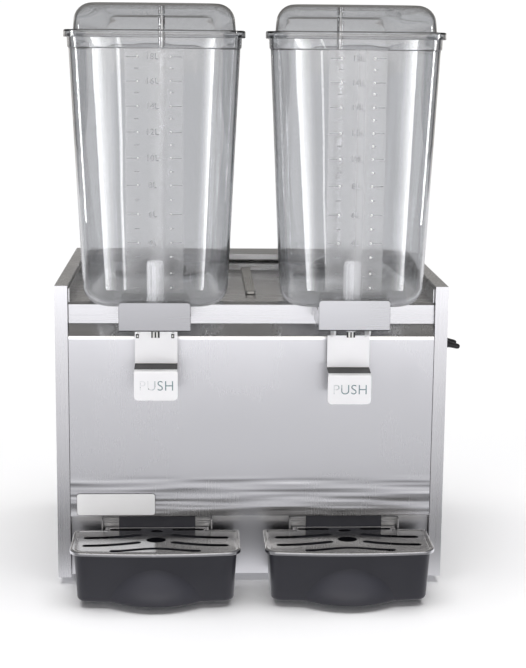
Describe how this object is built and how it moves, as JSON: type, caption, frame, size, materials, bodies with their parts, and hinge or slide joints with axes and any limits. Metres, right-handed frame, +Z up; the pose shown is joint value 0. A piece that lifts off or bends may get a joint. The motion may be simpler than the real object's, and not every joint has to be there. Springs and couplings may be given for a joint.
{
  "type": "cold drink dispenser",
  "caption": "Counter-top cold drink dispenser: clear lidded bowls on a steel cabinet, with push-lever taps, spray tubes and slotted drip trays.",
  "frame": {"origin": "middle of the footprint of the whole object, on the floor plane under the feet", "axes": "+Z up, +X to the right of someone who faces the taps, -Y out of the front"},
  "size_m": [0.4547, 0.4273, 0.6388],
  "materials": {
    "side_panel_left": "brushed stainless sheet",
    "side_panel_right": "brushed stainless sheet",
    "front_panel": "brushed stainless sheet",
    "kick_panel": "brushed stainless sheet",
    "deck_pan": "brushed stainless sheet",
    "deck_rib": "brushed stainless sheet",
    "rear_panel": "brushed stainless sheet",
    "base_plate": "brushed stainless sheet",
    "foot_1": "matt",
    "foot_2": "matt",
    "foot_3": "matt",
    "foot_4": "matt",
    "badge_plate": "bare white",
    "cable_gland": "matt",
    "evaporator_left": "satin",
    "bowl_seal_left": "silicone",
    "bowl_left": "clear moulding with a frosted graduated strip",
    "lid_left": "clear moulding",
    "impeller_left": "moulded",
    "pump_cover_left": "translucent moulding",
    "spray_tube_left": "polished tube",
    "pump_motor_left": "black",
    "tap_cover_left": "brushed stainless sheet",
    "push_lever_left": "satin stainless sheet",
    "lever_pin_left": "ground",
    "valve_piston_left": "white with a dark seal",
    "tap_spout_left": "polished",
    "valve_spring_left": "spring wire",
    "drip_tray_left": "charcoal, fine texture",
    "drip_grille_left": "polished rolled rim",
    "tray_bracket_left": "brushed",
    "evaporator_right": "satin",
    "bowl_seal_right": "silicone",
    "bowl_right": "clear moulding with a frosted graduated strip",
    "lid_right": "clear moulding",
    "impeller_right": "moulded",
    "pump_cover_right": "translucent moulding",
    "spray_tube_right": "polished tube",
    "pump_motor_right": "black",
    "tap_cover_right": "brushed stainless sheet",
    "push_lever_right": "satin stainless sheet",
    "lever_pin_right": "ground",
    "valve_piston_right": "white with a dark seal",
    "tap_spout_right": "polished",
    "valve_spring_right": "spring wire",
    "drip_tray_right": "charcoal, fine texture",
    "drip_grille_right": "polished rolled rim",
    "tray_bracket_right": "brushed",
    "switch_body_1": "black",
    "switch_lever_1": "glossy boot",
    "switch_body_2": "black",
    "switch_lever_2": "glossy boot",
    "compressor": "black paint",
    "condenser": "fins",
    "fan_motor": "grey",
    "fan_blade": "black",
    "refrigerant_line": "bare copper"
  },
  "bodies": {
    "cabinet": {"side_panel_left": "side_panel_left", "side_panel_right": "side_panel_right", "front_panel": "front_panel", "kick_panel": "kick_panel", "deck_pan": "deck_pan", "deck_rib": "deck_rib", "rear_panel": "rear_panel", "base_plate": "base_plate", "foot_1": "foot_1", "foot_2": "foot_2", "foot_3": "foot_3", "foot_4": "foot_4", "badge_plate": "badge_plate", "cable_gland": "cable_gland", "compressor": "compressor", "condenser": "condenser", "fan_motor": "fan_motor", "refrigerant_line": "refrigerant_line", "switch_body_1": "switch_body_1", "switch_body_2": "switch_body_2", "evaporator_left": "evaporator_left", "bowl_seal_left": "bowl_seal_left", "pump_cover_left": "pump_cover_left", "spray_tube_left": "spray_tube_left", "pump_motor_left": "pump_motor_left", "tray_bracket_left": "tray_bracket_left", "evaporator_right": "evaporator_right", "bowl_seal_right": "bowl_seal_right", "pump_cover_right": "pump_cover_right", "spray_tube_right": "spray_tube_right", "pump_motor_right": "pump_motor_right", "tray_bracket_right": "tray_bracket_right"},
    "bowl_unit_left": {"bowl_left": "bowl_left", "tap_cover_left": "tap_cover_left", "lever_pin_left": "lever_pin_left", "valve_spring_left": "valve_spring_left"},
    "lid_unit_left": {"lid_left": "lid_left"},
    "lever_unit_left": {"push_lever_left": "push_lever_left"},
    "piston_unit_left": {"valve_piston_left": "valve_piston_left", "tap_spout_left": "tap_spout_left"},
    "impeller_unit_left": {"impeller_left": "impeller_left"},
    "tray_unit_left": {"drip_tray_left": "drip_tray_left"},
    "grille_unit_left": {"drip_grille_left": "drip_grille_left"},
    "bowl_unit_right": {"bowl_right": "bowl_right", "tap_cover_right": "tap_cover_right", "lever_pin_right": "lever_pin_right", "valve_spring_right": "valve_spring_right"},
    "lid_unit_right": {"lid_right": "lid_right"},
    "lever_unit_right": {"push_lever_right": "push_lever_right"},
    "piston_unit_right": {"valve_piston_right": "valve_piston_right", "tap_spout_right": "tap_spout_right"},
    "impeller_unit_right": {"impeller_right": "impeller_right"},
    "tray_unit_right": {"drip_tray_right": "drip_tray_right"},
    "grille_unit_right": {"drip_grille_right": "drip_grille_right"},
    "fan_unit": {"fan_blade": "fan_blade"},
    "toggle_1": {"switch_lever_1": "switch_lever_1"},
    "toggle_2": {"switch_lever_2": "switch_lever_2"}
  },
  "joints": [
    {"name": "bowl_lift_left", "type": "slide", "parent": "cabinet", "child": "bowl_unit_left", "axis": [0, 0, 1], "range_m": [0, 0.345]},
    {"name": "lid_lift_left", "type": "slide", "parent": "bowl_unit_left", "child": "lid_unit_left", "axis": [0, 0, 1], "range_m": [0, 0.15]},
    {"name": "lever_hinge_left", "type": "hinge", "parent": "bowl_unit_left", "child": "lever_unit_left", "pos_m": [-0.1169, -0.1753, 0.3113], "axis": [1, 0, 0], "range_deg": [0, 13.5], "stiffness_Nm_per_rad": 0.4},
    {"name": "piston_slide_left", "type": "slide", "parent": "bowl_unit_left", "child": "piston_unit_left", "axis": [0, 0, 1], "range_m": [0, 0.0054], "deforming": ["valve_spring_left"]},
    {"name": "impeller_spin_left", "type": "hinge", "parent": "cabinet", "child": "impeller_unit_left", "pos_m": [-0.1169, 0.0627, 0.328], "axis": [0, 0, 1], "continuous": true},
    {"name": "tray_slide_left", "type": "slide", "parent": "cabinet", "child": "tray_unit_left", "axis": [0, -1, 0], "range_m": [0, 0.15]},
    {"name": "grille_lift_left", "type": "slide", "parent": "tray_unit_left", "child": "grille_unit_left", "axis": [0, -0.5, 0.866], "range_m": [0, 0.1]},
    {"name": "bowl_lift_right", "type": "slide", "parent": "cabinet", "child": "bowl_unit_right", "axis": [0, 0, 1], "range_m": [0, 0.345]},
    {"name": "lid_lift_right", "type": "slide", "parent": "bowl_unit_right", "child": "lid_unit_right", "axis": [0, 0, 1], "range_m": [0, 0.15]},
    {"name": "lever_hinge_right", "type": "hinge", "parent": "bowl_unit_right", "child": "lever_unit_right", "pos_m": [0.0921, -0.1753, 0.3113], "axis": [1, 0, 0], "range_deg": [0, 13.5], "stiffness_Nm_per_rad": 0.4},
    {"name": "piston_slide_right", "type": "slide", "parent": "bowl_unit_right", "child": "piston_unit_right", "axis": [0, 0, 1], "range_m": [0, 0.0054], "deforming": ["valve_spring_right"]},
    {"name": "impeller_spin_right", "type": "hinge", "parent": "cabinet", "child": "impeller_unit_right", "pos_m": [0.0921, 0.0627, 0.328], "axis": [0, 0, 1], "continuous": true},
    {"name": "tray_slide_right", "type": "slide", "parent": "cabinet", "child": "tray_unit_right", "axis": [0, -1, 0], "range_m": [0, 0.15]},
    {"name": "grille_lift_right", "type": "slide", "parent": "tray_unit_right", "child": "grille_unit_right", "axis": [0, -0.5, 0.866], "range_m": [0, 0.1]},
    {"name": "fan_spin", "type": "hinge", "parent": "cabinet", "child": "fan_unit", "pos_m": [0.0696, 0.1277, 0.118], "axis": [0, 1, 0], "continuous": true},
    {"name": "toggle_flip_1", "type": "hinge", "parent": "cabinet", "child": "toggle_1", "pos_m": [0.2102, -0.0543, 0.2643], "axis": [0, -1, 0], "range_deg": [0, 26]},
    {"name": "toggle_flip_2", "type": "hinge", "parent": "cabinet", "child": "toggle_2", "pos_m": [0.2102, -0.0303, 0.2643], "axis": [0, -1, 0], "range_deg": [0, 26]}
  ],
  "couplings": [
    {"joint": "piston_slide_left", "follows": "lever_hinge_left", "m_per_rad": 0.0225},
    {"joint": "piston_slide_right", "follows": "lever_hinge_right", "m_per_rad": 0.0225}
  ]
}
